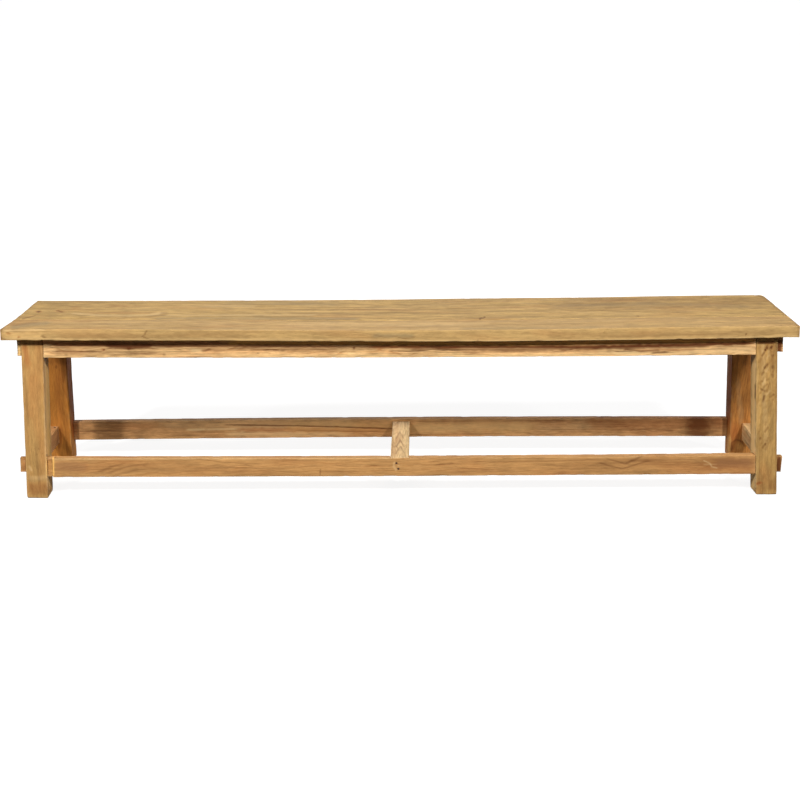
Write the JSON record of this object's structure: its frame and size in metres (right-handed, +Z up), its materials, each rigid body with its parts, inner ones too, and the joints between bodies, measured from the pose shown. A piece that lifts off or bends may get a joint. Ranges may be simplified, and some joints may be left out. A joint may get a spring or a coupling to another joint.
{
  "type": "wooden bench",
  "caption": "Long rustic wooden bench: plank seat on splayed legs, with aprons, low stretchers and through tenons.",
  "frame": {"origin": "on the floor, under the middle of the bench's bounding box", "axes": "+Z up, +X along the seat towards the bench's right hand end seen from the front, -Y the front with the narrower seat board"},
  "size_m": [2.0082, 0.3747, 0.45],
  "materials": {
    "seat_board_front": "old unfinished softwood, oiled by use, dull sheen, open grain, worn arrises",
    "seat_board_rear": "old unfinished softwood, greyer streaks, dull sheen, waney rear edge",
    "leg_front_left": "old rough-planed softwood, weathered and hand-worn, matt",
    "leg_front_right": "old rough-planed softwood, weathered and hand-worn, matt",
    "leg_rear_left": "old rough-planed softwood, weathered and hand-worn, matt",
    "leg_rear_right": "old rough-planed softwood, weathered and hand-worn, matt",
    "apron_front": "old rough-planed softwood, weathered and hand-worn, matt",
    "apron_rear": "old rough-planed softwood, weathered and hand-worn, matt",
    "end_rail_left": "old rough-planed softwood, weathered and hand-worn, matt",
    "end_rail_right": "old rough-planed softwood, weathered and hand-worn, matt",
    "seat_cross_rail_left": "old rough-planed softwood, weathered and hand-worn, matt",
    "seat_cross_rail_right": "old rough-planed softwood, weathered and hand-worn, matt",
    "stretcher_front": "old rough-planed softwood, weathered and hand-worn, matt",
    "stretcher_rear": "old rough-planed softwood, weathered and hand-worn, matt",
    "end_stretcher_left": "old rough-planed softwood, weathered and hand-worn, matt",
    "end_stretcher_right": "old rough-planed softwood, weathered and hand-worn, matt",
    "centre_rail": "old rough-planed softwood, weathered and hand-worn, matt",
    "screw_steel": "old steel, tarnished brown",
    "nail_iron": "iron, dark rust"
  },
  "bodies": {
    "root": {"seat_board_front": "seat_board_front", "seat_board_rear": "seat_board_rear", "leg_front_left": "leg_front_left", "leg_front_right": "leg_front_right", "leg_rear_left": "leg_rear_left", "leg_rear_right": "leg_rear_right", "apron_front": "apron_front", "apron_rear": "apron_rear", "end_rail_left": "end_rail_left", "end_rail_right": "end_rail_right", "seat_cross_rail_left": "seat_cross_rail_left", "seat_cross_rail_right": "seat_cross_rail_right", "stretcher_front": "stretcher_front", "stretcher_rear": "stretcher_rear", "end_stretcher_left": "end_stretcher_left", "end_stretcher_right": "end_stretcher_right", "centre_rail": "centre_rail", "seat_screw_end_left_front": "screw_steel", "seat_screw_end_left_middle": "screw_steel", "seat_screw_end_left_rear": "screw_steel", "seat_screw_end_right_front": "screw_steel", "seat_screw_end_right_middle": "screw_steel", "seat_screw_end_right_rear": "screw_steel", "seat_screw_cross_left_front": "screw_steel", "seat_screw_cross_left_middle": "screw_steel", "seat_screw_cross_left_rear": "screw_steel", "seat_screw_cross_right_front": "screw_steel", "seat_screw_cross_right_middle": "screw_steel", "seat_screw_cross_right_rear": "screw_steel", "centre_rail_nail_front_upper": "nail_iron", "centre_rail_nail_front_lower": "nail_iron", "centre_rail_nail_rear_upper": "nail_iron", "centre_rail_nail_rear_lower": "nail_iron", "end_stretcher_nail": "nail_iron"}
  },
  "joints": []
}
